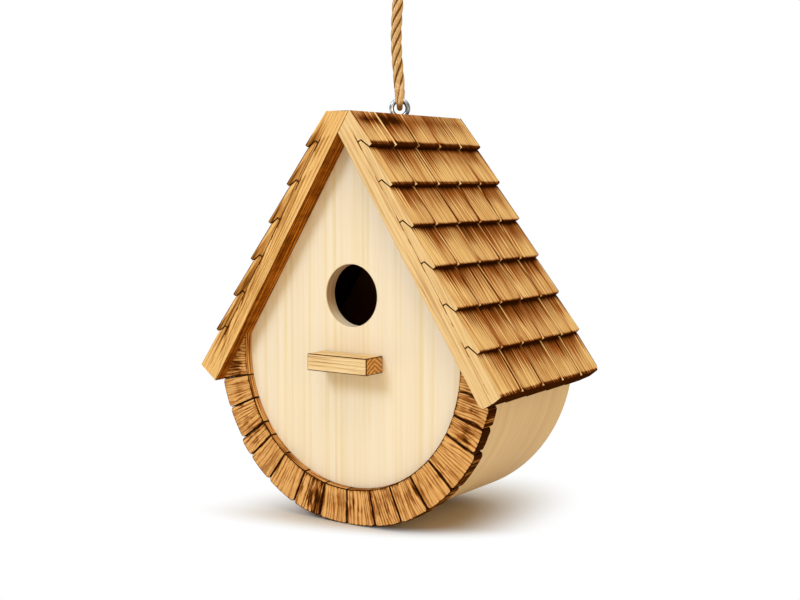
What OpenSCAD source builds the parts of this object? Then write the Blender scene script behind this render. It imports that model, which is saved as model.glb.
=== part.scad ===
// Teardrop birdhouse: a round-bottomed nest box under a steep shingled roof.
// It hangs by a rope from a screw eye in the ridge and is cleaned through a
// hole in the back, which a pear-shaped door on one screw covers.
// The origin is the top of the rope's loop, where a hook or nail carries it.
// +Z is up and the entrance faces -Y.

/* [Roof] */
// Slope of the roof boards from the horizontal, in degrees
roof_pitch = 57.5; // [52:0.5:62]
// Length of a roof board along its inner face, from the inner apex to the eave
board_len = 155.5; // [150:0.5:170]
// Depth of the roof from front to back
roof_depth = 103.5; // [98:0.5:125]
// Thickness of the plain board under the shingles
board_t = 7.8; // [6:0.1:10]
// Height of the flat ridge above the inner apex
ridge_h = 10.8; // [10:0.1:13]
// Height of the inner apex above the middle of the round bottom
apex_h = 113; // [105:0.5:120]

/* [Shingles] */
// Courses of shingles on each slope
courses = 7; // [5:1:9]
// Shingles side by side in one course
shingles_wide = 5; // [3:1:7]
// Distance of the first butt below the inner apex, along the slope
first_butt = 17.5; // [14:0.5:22]
// Thickness of a course at its butt
butt_t = 6.6; // [5.6:0.1:8]
// Thickness of a course where the butt above it ends
head_t = 4.2; // [3.4:0.1:5]
// Thickness of a course at its hidden top edge
tip_t = 1.8; // [0.8:0.1:2]
// Thickness of the last course at the eave
eave_t = 5.4; // [5:0.1:8]
// Length of a course that lies hidden under the one above
lap = 6.5; // [3:0.5:9]
// Open kerf under the tail of a course
lap_gap = 0.4; // [0:0.1:0.6]
// Width of the V groove between two shingles
groove_w = 1.8; // [1:0.1:2.6]
// Depth of the V groove between two shingles
groove_d = 1.1; // [0.6:0.1:1.6]

/* [Nest box] */
// Thickness of the front and back panels
panel_t = 7.5; // [6:0.1:9]
// Distance of the front panel's face behind the roof's front edges
front_overhang = 10.6; // [8:0.1:14]
// Distance of the back panel's face in front of the roof's back edges
back_overhang = 11; // [9.5:0.1:14]
// Outer radius of the bent side wall
wall_r = 84; // [80:0.5:84.5]
// Thickness of the bent side wall
wall_t = 3.5; // [2.5:0.1:5]
// Diameter of the entrance hole
hole_d = 32; // [26:0.5:38]
// Height of the entrance hole above the middle of the round bottom
hole_h = 31.5; // [28:0.5:40]

/* [Rim blocks] */
// Outer radius of the ring of blocks
rim_r = 85.6; // [85:0.1:88]
// Width of the ring from its inner to its outer edge
rim_w = 18.2; // [14:0.1:20]
// Thickness of a block from front to back
rim_t = 7.6; // [6.8:0.1:9]
// Distance by which the blocks stand proud of the front panel
rim_proud = 4.2; // [3:0.1:5]
// Saw gap between two blocks
block_gap = 0.3; // [0.1:0.1:0.8]
// Size of the nick at the outer corner of each joint
block_nick = 1.6; // [0.8:0.1:2.4]

/* [Perch] */
// Width of the perch block
perch_w = 37; // [25:0.5:50]
// Height of the perch block
perch_h = 8.6; // [6:0.1:12]
// Distance by which the perch stands out from the front panel
perch_out = 14; // [12:0.5:25]
// Height of the perch's middle above the middle of the round bottom
perch_z = -2; // [-12:0.5:4]
// Sideways set of the perch from the middle
perch_x = 1; // [-3:0.5:3]
// Diameter of the screw that holds the perch
perch_screw_d = 3; // [2.5:0.1:4]
// Length of the screw that holds the perch
perch_screw_len = 17; // [14:0.5:18]

/* [Clean-out door] */
// Diameter of the clean-out hole in the back panel
cleanout_d = 38; // [30:1:40]
// Height of the clean-out hole above the middle of the round bottom
cleanout_z = -24; // [-30:1:-20]
// Width of the border by which the door covers the hole's edge
door_lap = 5; // [3:0.5:6]
// Thickness of the door
door_t = 5; // [4:0.1:5.5]
// Height of the door's pivot above the middle of the hole
pivot_rise = 34; // [30:0.5:36]
// Radius of the door's round ear about the pivot
ear_r = 8; // [6:0.5:10]
// Diameter of the pivot screw
pivot_d = 3.5; // [3:0.1:4.5]
// Length of the pivot screw under its head
pivot_len = 13; // [12:0.5:13.5]
// Radius of the pivot screw's washer
washer_r = 5; // [4.2:0.1:6]
// Thickness of the washer
washer_t = 0.8; // [0.5:0.1:1.2]

/* [Screw eye] */
// Distance of the screw eye behind the roof's front edges
eye_y = 54; // [48:0.5:58]
// Radius of the ring, to the middle of its wire
ring_r = 4.3; // [4:0.1:5.5]
// Thickness of the wire
wire_d = 2.6; // [2.2:0.1:2.8]
// Height of the ring's middle above the ridge
eye_rise = 3.5; // [3:0.1:5]
// Turn of the ring about the upright, in degrees
ring_turn = 30; // [0:5:90]
// Depth of the screw's tip below the ridge
eye_depth = 9.6; // [8:0.1:10]
// Length of the screw's pointed end
eye_point = 3; // [2:0.5:5]

/* [Rope] */
// Height of the loop's top above the ridge
hang_drop = 108; // [100:1:116]
// Thickness of the rope
rope_d = 5.6; // [5:0.1:6]
// Thickness of the rope where it is pulled tight through the ring
bight_d = 3; // [2.6:0.1:3]
// Radius of the hanging loop, to the middle of the rope
loop_r = 7; // [6:0.1:7.2]
// Thickness of the knot from top to bottom
knot_h = 10; // [8:0.5:12]
// Radius of the knot
knot_r = 10; // [9.5:0.1:11]

/* [Fits] */
// Glue gap round curved faces that sit inside one another
glue_gap = 0.1; // [0.05:0.05:0.3]
// Running gap between pieces that move on each other
run_gap = 0.3; // [0.2:0.05:0.5]
// Radial clearance of a screw in its hole
screw_gap = 0.06; // [0.02:0.01:0.1]

/* [Hidden] */
$fn = 96;
SIDES = ["left", "right"];

// Angles of the saw cuts between the rim blocks, from straight down, in
// degrees: the blocks are cut to irregular widths. The end blocks run on to
// the roof boards.
inner_cuts = [-78, -67, -55, -48, -37, -24, -12, 0, 12, 23, 35, 47, 62, 71, 81];
blocks = len(inner_cuts) + 1;

// Shingles: each butt and the eave are cut square to the flared shingle face
exposure = (board_len - first_butt) / (courses - 1);
flare = atan((butt_t - head_t) / exposure);
eave_flare = atan((eave_t - head_t) / exposure);

// Front to back, from the roof's front edges
panel_front = front_overhang;
panel_back = panel_front + panel_t;
rim_front = panel_front - rim_proud;
rim_back = rim_front + rim_t;
body_back = roof_depth - back_overhang;
back_front = body_back - panel_t;

// Heights and radii, from the middle of the round bottom
ridge_z = apex_h + ridge_h;
rim_in = rim_r - rim_w;
wall_in = wall_r - wall_t;
roof_reach = apex_h * cos(roof_pitch);
roof_foot = roof_reach * cos(roof_pitch);
far = 2 * board_len;

// The rim's ends lie a little past the point where its inner edge meets the
// roof boards, which trim them
end_spare = 4;
end_cut = 180 - roof_pitch - acos(min(1, roof_reach / rim_in)) + end_spare;
block_cuts = concat([-end_cut], inner_cuts, [end_cut]);

// The screw eye and the rope's bight in its ring
wire_r = wire_d / 2;
eye_seat_r = sqrt(pow(ring_r + wire_r, 2) - pow(eye_rise, 2)) + 2 * run_gap;
bight_r = bight_d / 2;
bight_bend = wire_r + run_gap + bight_r;
wire_top = ridge_z + eye_rise + ring_r;

// Door
pivot_z = cleanout_z + pivot_rise;
door_r = cleanout_d / 2 + door_lap;
door_front = body_back + run_gap;
door_back = door_front + door_t;
washer_front = door_back + run_gap;
head_front = washer_front + washer_t;

// Rope: level rings up the slightly leaning route, from the loop's top down
rope_route = [
    [0, 0, -96], [-0.8, 0, -87], [-1.8, 0, -77], [-2.2, 0, -67],
    [-1.8, 0, -57], [-1, 0, -48], [0, 0, -40]
];
rope_sides = 10;
knot_bottom = rope_route[len(rope_route) - 1][2];
knot_top = knot_bottom + knot_h;
loop_mid = -(loop_r - rope_d / 2);

PINE = "#F0DCB8";
HONEY = "#D9A25E";
TOASTED = "#B9793A";
SCORCHED = "#8A562A";
STEEL = "#B8BCC0";
JUTE = "#C7A56F";

// ---------------------------------------------------------------- placing

// The house is drawn with its front roof edges at y = 0 and the middle of
// its round bottom at z = 0, then hung under the loop.
module house() {
    translate([0, -eye_y, -(ridge_z + hang_drop)]) children();
}

// Extrudes a front view (x, z) from depth y0 to depth y1
module slab(y0, y1) {
    translate([0, y1, 0]) rotate([90, 0, 0]) linear_extrude(y1 - y0) children();
}

// A cylinder along the depth, from y0 to y1, at [x, z]
module rod(at, y0, y1, d) {
    translate([at[0], y1, at[1]]) rotate([90, 0, 0]) cylinder(h = y1 - y0, d = d);
}

// Front view point on the right slope: s down the slope from the inner apex,
// h outward from the board's inner face
function on_slope(s, h) = [
    s * cos(roof_pitch) + h * sin(roof_pitch),
    apex_h - s * sin(roof_pitch) + h * cos(roof_pitch)
];

// Distance down the slope, at height h, of the cut that ends course i
function cut_at(i, h) = first_butt + (i - 1) * exposure - h * tan(flare);

// Height of the face of course i at its butt, and its lean off the board
function butt_at(i) = board_t + (i == courses ? eave_t : butt_t);
function lean_of(i) = i == courses ? eave_flare : flare;

// ------------------------------------------------------------ front views

// Everything under the roof boards' inner faces
module under_roof() {
    drop = far * tan(roof_pitch);
    polygon([[0, apex_h], [far, apex_h - drop], [-far, apex_h - drop]]);
}

// Teardrop: a disc under the roof, filled up to the inner apex
module teardrop(r) {
    intersection() {
        under_roof();
        union() {
            circle(r);
            translate([-far, roof_foot]) square(2 * far);
        }
    }
}

// Right slope, trimmed to the flat ridge and, on the right board itself,
// to the inner face of the left board that it butts against
module trimmed(side) {
    rise = far * tan(roof_pitch);
    difference() {
        intersection() {
            children();
            translate([-far, ridge_z - 2 * far]) square(2 * far);
        }
        if (side == "right")
            polygon([[far, apex_h + rise], [-far, apex_h + rise], [-far, apex_h - rise]]);
    }
}

// ------------------------------------------------------------------- roof

module mirrored(side) {
    mirror([side == "left" ? 1 : 0, 0, 0]) children();
}

// V cut along the depth position y: runs down the slope at height h from s
module v_cut(s, h, y, lean, length) {
    at = on_slope(s, h);
    spare = 1;
    grow = (groove_d + spare) / groove_d;
    translate([at[0], y, at[1]]) rotate([0, roof_pitch - lean, 0]) rotate([90, 0, 90])
        linear_extrude(length)
            polygon([[0, -groove_d], [groove_w / 2 * grow, spare], [-groove_w / 2 * grow, spare]]);
}

// Hollow in the ridge that the eye's ring is screwed down into
module eye_seat() {
    translate([0, eye_y, ridge_z + eye_rise - ring_r - wire_r - run_gap])
        cylinder(h = ridge_h, r = eye_seat_r);
}

// Plain board, with the V grooves of its shingles running out at the eave
module roof_board(side) {
    color(HONEY) house() difference() {
        mirrored(side) difference() {
            slab(0, roof_depth) trimmed(side) polygon([
                on_slope(-far / 4, 0), on_slope(-far / 4, board_t),
                on_slope(cut_at(courses, board_t), board_t), on_slope(board_len, 0)
            ]);
            for (k = [1:shingles_wide - 1])
                v_cut(board_len - lap, -groove_d / 2, k * roof_depth / shingles_wide, 0, 2 * lap);
        }
        if (side == "left") {
            eye_seat();
            translate([0, eye_y, ridge_z - eye_depth - screw_gap])
                cylinder(h = eye_depth, d = wire_d + 2 * screw_gap);
        }
    }
}

// Side view of course i: it lies on the board, its head is hidden under the
// course above and its tail rests over the head of the course below
module course_profile(i) {
    head = board_t + head_t;
    butt = butt_at(i);
    top = i == 1 ? -far / 4 : cut_at(i - 1, 0) - lap;
    top_rise = (cut_at(i, 0) - top) * tan(flare);
    tail = cut_at(i, 0) - lap;
    upper = i == 1
        ? [on_slope(top, board_t), on_slope(top, butt - top_rise)]
        : [on_slope(top, board_t), on_slope(top, board_t + tip_t), on_slope(cut_at(i - 1, head), head)];
    lower = i == courses
        ? [on_slope(cut_at(i, butt), butt), on_slope(cut_at(i, board_t), board_t)]
        : [on_slope(cut_at(i, butt), butt), on_slope(cut_at(i, head + lap_gap), head + lap_gap),
           on_slope(tail - lap_gap, board_t + tip_t + lap_gap), on_slope(tail - lap_gap, board_t)];
    polygon(concat(upper, lower));
}

// Tapered strip across the roof, grooved down its face into shingles
module shingle_course(side, i) {
    butt = butt_at(i);
    lean = lean_of(i);
    start = i == 1 ? -exposure : cut_at(i - 1, butt) - lap_gap;
    rise = (cut_at(i, butt) - start) * tan(lean);
    color(TOASTED) house() difference() {
        mirrored(side) difference() {
            slab(0, roof_depth) trimmed(side) course_profile(i);
            for (k = [1:shingles_wide - 1])
                v_cut(start, butt - rise, k * roof_depth / shingles_wide, lean, 3 * exposure);
        }
        if (side == "left" && i == 1) eye_seat();
    }
}

// --------------------------------------------------------------- nest box

// Its edge is rebated: the rim blocks lie in front of the rebate
module front_panel() {
    color(PINE) house() difference() {
        union() {
            slab(panel_front, panel_back) teardrop(rim_in - glue_gap);
            slab(rim_back, panel_back) teardrop(wall_in - glue_gap);
        }
        rod([0, hole_h], panel_front - 1, panel_back + 1, hole_d);
        rod([perch_x, perch_z], panel_front - 1, panel_back + 1, perch_screw_d + 2 * screw_gap);
    }
}

module back_panel() {
    color(PINE) house() difference() {
        slab(back_front, body_back) teardrop(wall_in - glue_gap);
        rod([0, cleanout_z], back_front - 1, body_back + 1, cleanout_d);
        rod([0, pivot_z], back_front - 1, body_back + 1, pivot_d + 2 * screw_gap);
    }
}

// Thin board bent round both panels, trimmed under the roof boards
module side_wall() {
    color(PINE) house() slab(rim_back, body_back) intersection() {
        difference() {
            circle(wall_r);
            circle(wall_in);
        }
        under_roof();
        translate([-far, roof_foot - 2 * far]) square(2 * far);
    }
}

// One block of the rim, between two saw cuts, with nicked outer corners
module rim_block(i) {
    color(SCORCHED) house() slab(rim_front, rim_back) difference() {
        intersection() {
            difference() {
                circle(rim_r);
                circle(rim_in);
            }
            block_wedge(block_cuts[i - 1], block_cuts[i]);
            under_roof();
        }
        for (a = [block_cuts[i - 1], block_cuts[i]])
            rotate(a) translate([0, -rim_r]) rotate(45) square(block_nick, center = true);
    }
}

// Wedge between the angles a0 and a1, half a saw gap inside each
module block_wedge(a0, a1) {
    side_0 = [cos(a0), sin(a0)] * block_gap / 2;
    side_1 = -[cos(a1), sin(a1)] * block_gap / 2;
    reach = 1.3 * rim_r;
    polygon([
        side_0 + reach * [sin(a0), -cos(a0)] / 4,
        side_0 + reach * [sin(a0), -cos(a0)],
        reach * 1.1 * [sin((a0 + a1) / 2), -cos((a0 + a1) / 2)],
        side_1 + reach * [sin(a1), -cos(a1)],
        side_1 + reach * [sin(a1), -cos(a1)] / 4
    ]);
}

// ------------------------------------------------------------------ perch

module perch() {
    color(HONEY) house() difference() {
        translate([perch_x - perch_w / 2, panel_front - perch_out, perch_z - perch_h / 2])
            cube([perch_w, perch_out, perch_h]);
        rod([perch_x, perch_z], panel_back - perch_screw_len - screw_gap, panel_front + 1,
            perch_screw_d + 2 * screw_gap);
    }
}

// Driven from inside the box, head against the back of the front panel
module perch_screw() {
    head_back = panel_back + perch_screw_d / 2;
    color(STEEL) house() {
        rod([perch_x, perch_z], panel_back - perch_screw_len, head_back, perch_screw_d);
        rod([perch_x, perch_z], panel_back, head_back, 2 * perch_screw_d);
    }
}

// ------------------------------------------------------------------- door

// Pear shape: a disc over the hole and a smaller ear about the pivot, joined
// by the straight lines that touch both
module pear(big, small, rise) {
    tilt = asin((big - small) / rise);
    circle(big);
    translate([0, rise]) circle(small);
    polygon([
        [big * cos(tilt), big * sin(tilt)],
        [small * cos(tilt), rise + small * sin(tilt)],
        [-small * cos(tilt), rise + small * sin(tilt)],
        [-big * cos(tilt), big * sin(tilt)]
    ]);
}

// Hangs on its screw and swings aside to either side
module cleanout_door() {
    color(PINE) house() difference() {
        slab(door_front, door_back) translate([0, cleanout_z]) pear(door_r, ear_r, pivot_rise);
        rod([0, pivot_z], door_front - 1, door_back + 1, pivot_d + 2 * screw_gap);
    }
}

// Round-headed screw
module door_screw() {
    head_h = 0.6 * pivot_d;
    dome_r = 1.3 * pivot_d;
    color(STEEL) house() {
        rod([0, pivot_z], head_front - pivot_len, head_front + head_h / 2, pivot_d);
        translate([0, head_front, pivot_z]) rotate([-90, 0, 0]) intersection() {
            translate([0, 0, head_h - dome_r]) sphere(dome_r);
            cylinder(h = head_h, r = pivot_d);
        }
    }
}

module door_washer() {
    color(STEEL) house() difference() {
        rod([0, pivot_z], washer_front, head_front, 2 * washer_r);
        rod([0, pivot_z], washer_front - 1, head_front + 1, pivot_d + 2 * screw_gap);
    }
}

// -------------------------------------------------------- screw eye, rope

module screw_eye() {
    color(STEEL) house() translate([0, eye_y, ridge_z]) {
        translate([0, 0, eye_rise]) rotate([0, 0, ring_turn]) rotate([90, 0, 0])
            rotate_extrude() translate([ring_r, 0]) circle(wire_r);
        translate([0, 0, eye_point - eye_depth])
            cylinder(h = eye_depth - eye_point + eye_rise - ring_r, r = wire_r);
        translate([0, 0, -eye_depth]) cylinder(h = eye_point, r1 = wire_r / 6, r2 = wire_r);
    }
}

// Tube of level rings along a route that runs nearly upright
module upright_tube(route, d, sides) {
    n = len(route);
    points = [for (p = route) for (k = [0:sides - 1])
        p + d / 2 * [cos(360 * k / sides), sin(360 * k / sides), 0]];
    walls = [for (i = [0:n - 2]) for (k = [0:sides - 1])
        [i * sides + k, (i + 1) * sides + k, (i + 1) * sides + (k + 1) % sides, i * sides + (k + 1) % sides]];
    bottom = [[for (k = [0:sides - 1]) k]];
    top = [[for (k = [sides - 1:-1:0]) (n - 1) * sides + k]];
    polyhedron(points, concat(walls, bottom, top));
}

module hanging_rope() {
    color(JUTE) upright_tube(rope_route, rope_d, rope_sides);
}

// The rope's lower end, folded through the ring and spliced back
module rope_bight() {
    wire_z = wire_top - ridge_z - hang_drop;
    leg_h = rope_route[0][2] - wire_z;
    color(JUTE) translate([0, 0, wire_z]) rotate([0, 0, ring_turn]) {
        rotate([90, 0, 90]) rotate([0, 0, 180]) rotate_extrude(angle = 180)
            translate([bight_bend, 0]) circle(bight_r);
        for (y = [-bight_bend, bight_bend])
            translate([0, y, 0]) cylinder(h = leg_h, r = bight_r);
    }
}

// Round knot: the rope ends against its flat bottom
module rope_knot() {
    flat_r = knot_r - knot_h / 2;
    color(JUTE) translate([0, 0, knot_bottom]) rotate_extrude() intersection() {
        union() {
            square([flat_r, knot_h]);
            translate([flat_r, knot_h / 2]) circle(knot_h / 2);
        }
        square([2 * knot_r, knot_h]);
    }
}

// Loop over the hook: half a ring on two legs that run down into the knot
module rope_loop() {
    knot_mid = (knot_bottom + knot_top) / 2;
    color(JUTE) {
        translate([0, 0, loop_mid]) rotate([90, 0, 0]) rotate_extrude(angle = 180)
            translate([loop_r, 0]) circle(d = rope_d);
        for (x = [-loop_r, loop_r])
            translate([x, 0, knot_mid]) cylinder(h = loop_mid - knot_mid, d = rope_d);
    }
}

// ------------------------------------------------------------------- show

front_panel();
back_panel();
side_wall();
roof_board("left");  // roof_board_left
roof_board("right");  // roof_board_right
for (side = SIDES) for (i = [1:courses])
    shingle_course(side, i);
for (i = [1:blocks])
    rim_block(i);
perch();
perch_screw();
cleanout_door();
door_screw();
door_washer();
screw_eye();
hanging_rope();
rope_bight();
rope_knot();
rope_loop();
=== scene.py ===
import math
import random

import bmesh
import bpy
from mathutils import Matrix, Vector, noise


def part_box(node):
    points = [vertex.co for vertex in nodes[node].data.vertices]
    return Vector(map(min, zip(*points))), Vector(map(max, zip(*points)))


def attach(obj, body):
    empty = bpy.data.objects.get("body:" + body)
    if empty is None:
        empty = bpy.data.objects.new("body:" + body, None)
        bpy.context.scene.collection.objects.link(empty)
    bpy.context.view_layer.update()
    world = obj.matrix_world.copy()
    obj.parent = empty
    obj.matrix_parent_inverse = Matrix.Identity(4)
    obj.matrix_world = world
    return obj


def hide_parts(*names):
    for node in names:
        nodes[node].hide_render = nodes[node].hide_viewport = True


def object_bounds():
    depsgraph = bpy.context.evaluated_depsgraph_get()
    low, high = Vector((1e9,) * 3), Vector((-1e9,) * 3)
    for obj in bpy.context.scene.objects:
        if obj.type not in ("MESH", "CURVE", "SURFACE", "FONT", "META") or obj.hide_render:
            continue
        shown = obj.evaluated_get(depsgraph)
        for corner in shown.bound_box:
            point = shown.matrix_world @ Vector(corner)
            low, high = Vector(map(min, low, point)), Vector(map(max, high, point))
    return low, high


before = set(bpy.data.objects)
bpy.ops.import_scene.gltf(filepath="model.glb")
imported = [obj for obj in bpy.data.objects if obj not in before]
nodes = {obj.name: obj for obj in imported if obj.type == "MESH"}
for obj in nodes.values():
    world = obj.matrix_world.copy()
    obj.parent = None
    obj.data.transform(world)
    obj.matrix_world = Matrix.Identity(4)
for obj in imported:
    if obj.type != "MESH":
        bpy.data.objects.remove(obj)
cad_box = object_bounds()

# ----------------------------------------------------------------- camera
# A short telephoto lens to the right of the entrance, about level with the
# entrance hole and tipped slightly down.
camera = bpy.data.objects.new("camera", bpy.data.cameras.new("camera"))
camera.location = (0.38392, -0.55866, -0.14238)
camera.rotation_euler = (math.radians(84.6496), 0, math.radians(34.4847))
camera.data.sensor_width = 36
camera.data.lens = 57.32
bpy.context.scene.collection.objects.link(camera)
bpy.context.scene.camera = camera

# ------------------------------------------------------------------- rope
# One two-ply jute cord is folded through the screw eye, and its two legs are
# laid on each other up to the knot, so the rope shows four strands. They
# flatten against each other and wind up to the right.
mm = 0.001
rope_d = 5.6 * mm
rope_pitch = 30 * mm
strand_r = 1.38 * mm
strand_wide = 1.06
strand_sides = 24
ply_offset = 1.1 * mm
leg_offset = 1.15 * mm
leg_spread = 3.1 * mm
spread_height = 5 * mm
wind_start = 3 * mm
pressed = 0.02 * mm
fibre_wrap = 8 * mm
fibre_lean = 0.3
strand_seed = 7
ring_turn = math.radians(30)
rope_route = [(0, 0, -0.096), (-0.0008, 0, -0.087), (-0.0018, 0, -0.077), (-0.0022, 0, -0.067),
              (-0.0018, 0, -0.057), (-0.001, 0, -0.048), (0, 0, -0.040)]


def tint(code):
    """The linear colour of a paint chart's #RRGGBB."""
    parts = [int(code[i:i + 2], 16) / 255 for i in (1, 3, 5)]
    return tuple(p / 12.92 if p <= 0.04045 else ((p + 0.055) / 1.055) ** 2.4 for p in parts) + (1,)


def eased(t):
    """Rises smoothly from 0 to 1 as t does."""
    t = min(max(t, 0), 1)
    return t * t * (3 - 2 * t)


def evenly(start, end, count):
    """The values from start to end in that many even steps."""
    return [start + (end - start) * k / count for k in range(count + 1)]


class Recipe:
    """Colours and heights, built up from noise, ramps and mixes."""

    def __init__(self, tree):
        self.tree = tree

    def put(self, socket, value):
        if isinstance(value, bpy.types.NodeSocket):
            self.tree.links.new(value, socket)
        else:
            socket.default_value = value

    def add(self, kind, output=0, inputs=None, **settings):
        """Adds a step of that kind, and gives one of the values it puts out."""
        node = self.tree.nodes.new("ShaderNode" + kind)
        for key, value in settings.items():
            setattr(node, key, value)
        for key, value in (inputs or {}).items():
            self.put(node.inputs[key], value)
        return node.outputs[output]

    def fibres(self, grain, scale, detail=3, roughness=0.6):
        """Noise that is stretched along the grain."""
        place = self.add("VectorMath", inputs={0: grain, 1: scale}, operation="MULTIPLY")
        return self.add("TexNoise", inputs={"Vector": place, "Scale": 1, "Detail": detail,
                                            "Roughness": roughness})

    def sum(self, first, second, operation="ADD"):
        """The two added up, or worked out by another operation."""
        return self.add("Math", inputs={0: first, 1: second}, operation=operation)

    def times(self, first, second):
        return self.sum(first, second, "MULTIPLY")

    def swing(self, value, amount):
        """value about its middle of a half, times amount."""
        return self.times(self.sum(value, 0.5, "SUBTRACT"), amount)

    def between(self, value, low, high, start=0, end=1):
        """Runs smoothly from start to end while value runs from low to high."""
        return self.add("MapRange", inputs={0: value, 1: low, 2: high, 3: start, 4: end},
                        interpolation_type="SMOOTHSTEP")

    def mix(self, share, first, second):
        return self.add("Mix", 2, {0: share, 6: first, 7: second}, data_type="RGBA")

    def ramp(self, value, *stops):
        """A colour that runs from stop to stop as value does."""
        colour = self.add("ValToRGB", inputs={0: value})
        band = colour.node.color_ramp
        while len(band.elements) < len(stops):
            band.elements.new(0.5)
        for element, (place, code) in zip(band.elements, stops):
            element.position = place
            element.color = tint(code)
        return colour


class Finish(Recipe):
    """The recipe for a material, on the piece's own grain."""

    def __init__(self, name, roughness, shine=0.5):
        self.material = bpy.data.materials.new(name)
        self.material.use_nodes = True
        super().__init__(self.material.node_tree)
        self.shader = self.tree.nodes["Principled BSDF"]
        self.shader.inputs["Roughness"].default_value = roughness
        self.shader.inputs["Specular IOR Level"].default_value = shine

    def mark(self, name, output="Vector"):
        """What the piece's reader has marked its corners with."""
        return self.add("Attribute", output, attribute_name=name)

    def relief(self, height, depth, strength=1):
        bump = self.add("Bump", inputs={"Height": height, "Distance": depth, "Strength": strength})
        self.put(self.shader.inputs["Normal"], bump)

    def colour(self, value):
        self.put(self.shader.inputs["Base Color"], value)


def new_piece(name, bm, finishes, reader, soft_angle=35):
    """Makes the piece. reader gives, for each corner, its place across and along the grain, a seed
    that keeps one figure apart from the next, and how scorched it is or how dark shade is painted
    on it. Edges flatter than soft_angle are shaded as smooth."""
    bm.normal_update()
    limit = math.radians(soft_angle)
    for edge in bm.edges:
        edge.smooth = len(edge.link_faces) == 2 and edge.calc_face_angle() < limit
    for face in bm.faces:
        face.smooth = True
    mesh = bpy.data.meshes.new(name)
    bm.to_mesh(mesh)
    bm.free()
    places, burn_and_shade_values = [], []
    for face in mesh.polygons:
        for corner in face.loop_indices:
            vert = mesh.loops[corner].vertex_index
            *place, scorched_or_shaded = reader(mesh.vertices[vert].co, face, vert)
            places += place
            burn_and_shade_values.append(scorched_or_shaded)
    mesh.attributes.new("grain", "FLOAT_VECTOR", "CORNER").data.foreach_set("vector", places)
    mesh.attributes.new("scorch_and_shade", "FLOAT", "CORNER").data.foreach_set("value", burn_and_shade_values)
    for finish in finishes:
        mesh.materials.append(finish.material)
    piece = bpy.data.objects.new(name, mesh)
    bpy.context.scene.collection.objects.link(piece)
    return piece


def smooth_route(points, steps):
    """A smooth curve through the points, with so many steps between each two."""
    points = [Vector(p) for p in points]
    ends = [2 * points[0] - points[1]] + points + [2 * points[-1] - points[-2]]
    route = []
    for a, b, c, d in zip(ends, ends[1:], ends[2:], ends[3:]):
        for k in range(steps):
            t = k / steps
            route.append((2 * b + (c - a) * t + (2 * a - 5 * b + 4 * c - d) * t ** 2
                          + (3 * b - a - 3 * c + d) * t ** 3) / 2)
    return route + [points[-1]]


def flattened(reach, offset):
    """Keeps a strand that lies beside a plane on its own side of it."""
    if not offset:
        return reach
    return math.copysign(max(reach * math.copysign(1, offset), pressed), offset)


def strand_rings(route, first, shape):
    """Rings of a strand beside a route. first is a direction across the route's start. shape gives,
    for the distance from the start, the rope's turn and the strand's two offsets and radius. The
    strand goes flat where it meets its neighbours, in the planes of no offset."""
    rings, distance, side = [], 0, first
    for i, place in enumerate(route):
        ahead = (route[min(i + 1, len(route) - 1)] - route[max(i - 1, 0)]).normalized()
        side = (side - ahead * side.dot(ahead)).normalized()
        if i:
            distance += (place - route[i - 1]).length
        turn, aside, apart, radius = shape(distance)
        out = math.cos(turn) * side + math.sin(turn) * ahead.cross(side)
        over = ahead.cross(out)
        bulge = (aside * out + apart * over).normalized() if aside or apart else out
        wide = ahead.cross(bulge)
        ring = []
        for a in evenly(0, 2 * math.pi, strand_sides)[:-1]:
            bent = math.cos(a) * bulge + strand_wide * math.sin(a) * wide
            spot = aside * out + apart * over + radius * bent
            ring.append(place + flattened(spot.dot(out), aside) * out
                        + flattened(spot.dot(over), apart) * over)
        rings.append((ring, place + aside * out + apart * over, distance, bulge))
    return rings


def skin(bm, rows, ends=True):
    """Joins rows of the same number of points by faces, and closes both ends."""
    for low, high in zip(rows, rows[1:]):
        for k in range(len(low)):
            n = (k + 1) % len(low)
            bm.faces.new((low[k], low[n], high[n], high[k]))
    if ends:
        bm.faces.new(rows[0][::-1])
        bm.faces.new(rows[-1])


def cord_piece(name, strands, dark=lambda place: 0, groove=(0.05, 0.8)):
    """Joins the strands' rings into tubes. Their fibres wind slowly round each strand. The sides
    that lie in the rope's grooves are painted dark as shade, as are the places that dark picks."""
    bm = bmesh.new()
    marks = []
    for number, rings in enumerate(strands):
        rows = []
        for ring, middle, distance, bulge in rings:
            row = []
            for k, place in enumerate(ring):
                row.append(bm.verts.new(place))
                facing = (place - middle).normalized().dot(bulge)
                # Painted shade: the sides that lie in the rope's grooves are marked dark.
                groove_shade = 1 - eased((facing - groove[0]) / (groove[1] - groove[0]))
                around = k / len(ring) * fibre_wrap + fibre_lean * distance
                marks.append((around, distance, strand_seed * number, max(dark(place), groove_shade)))
            rows.append(row)
        skin(bm, rows)
    bmesh.ops.recalc_face_normals(bm, faces=bm.faces[:])
    return new_piece(name, bm, [jute], lambda place, face, vert: marks[vert], soft_angle=50)


jute = Finish("twisted jute", roughness=0.85, shine=0.05)
yarn = jute.mark("grain")
wisp = jute.fibres(yarn, (2400, 260, 1), 4, 0.7)
tuft = jute.fibres(yarn, (800, 110, 1), 2)
jute_colour = jute.ramp(wisp, (0.3, "#9A6F3D"), (0.43, "#CFA36A"),
                        (0.56, "#E4C08C"), (0.7, "#F7E2C2"))
jute_colour = jute.mix(jute.between(tuft, 0.52, 0.7, 0, 0.4), jute_colour, tint("#B5834C"))
# Painted shade in the grooves, and stain with painted shade under the wire, darken the rope.
painted_groove_shade = jute.between(jute.mark("scorch_and_shade", "Fac"), 0, 1, 0, 0.9)
jute.colour(jute.mix(painted_groove_shade, jute_colour, tint("#724619")))
jute.relief(jute.sum(wisp, jute.times(tuft, 0.6)), 0.4 * mm, 0.8)

route = smooth_route(rope_route, steps=14)


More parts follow.
